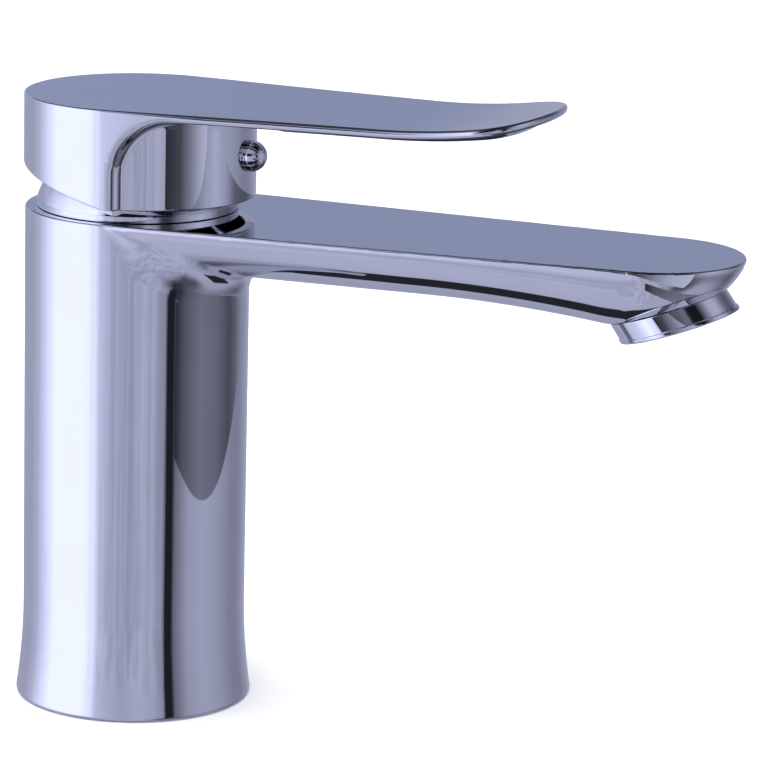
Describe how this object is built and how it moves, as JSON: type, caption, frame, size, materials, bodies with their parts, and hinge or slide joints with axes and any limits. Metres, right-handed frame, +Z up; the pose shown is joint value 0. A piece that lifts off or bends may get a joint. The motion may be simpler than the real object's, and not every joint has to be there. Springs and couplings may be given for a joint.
{
  "type": "bathroom mixer faucet",
  "caption": "Single lever basin mixer: round chromed column with flared foot, flat topped spout with tilted aerator, and a flat lever handle on a round hub.",
  "frame": {"origin": "centre of the foot, on the deck that the faucet stands on", "axes": "+X along the spout, +Z up the column, +Y to the left of a person facing along the spout"},
  "size_m": [0.1638, 0.0528, 0.1396],
  "materials": {
    "chrome": "polished chrome plate",
    "brass": "machined brass",
    "steel": "plain stainless steel",
    "rubber": "black rubber",
    "white_plastic": "natural white plastic",
    "grey_plastic": "moulded grey plastic",
    "ceramic": "lapped alumina"
  },
  "bodies": {
    "base": {"faucet_body": "chrome", "base_gasket": "rubber", "base_insert": "white_plastic", "bonnet_collar": "chrome", "bonnet_seal": "rubber", "cartridge_nut": "brass", "thrust_washer": "white_plastic", "cartridge_housing": "grey_plastic", "cartridge_base": "grey_plastic", "inlet_seal_left": "rubber", "inlet_seal_right": "rubber", "outlet_seal": "rubber", "fixed_disc": "ceramic", "aerator_housing": "chrome", "aerator_washer": "rubber", "aerator_insert": "white_plastic", "aerator_strainer": "steel"},
    "turret": {"spindle_rotor": "white_plastic", "stem_pivot_pin": "steel"},
    "lever": {"lever_handle": "chrome", "handle_set_screw": "steel", "index_plug": "chrome", "cartridge_stem": "brass"},
    "valve_disc": {"disc_driver": "white_plastic", "moving_disc": "ceramic"}
  },
  "joints": [
    {"name": "swivel", "type": "hinge", "parent": "base", "child": "turret", "pos_m": [0, 0, 0.1047], "axis": [0, 0, 1], "range_deg": [-50, 50]},
    {"name": "lift", "type": "hinge", "parent": "turret", "child": "lever", "pos_m": [0, 0, 0.1047], "axis": [0, -1, 0], "range_deg": [0, 20]},
    {"name": "disc_slide", "type": "slide", "parent": "turret", "child": "valve_disc", "axis": [1, 0, 0], "range_m": [0, 0.00419]}
  ],
  "couplings": [
    {"joint": "disc_slide", "follows": "lift", "m_per_rad": 0.012}
  ]
}
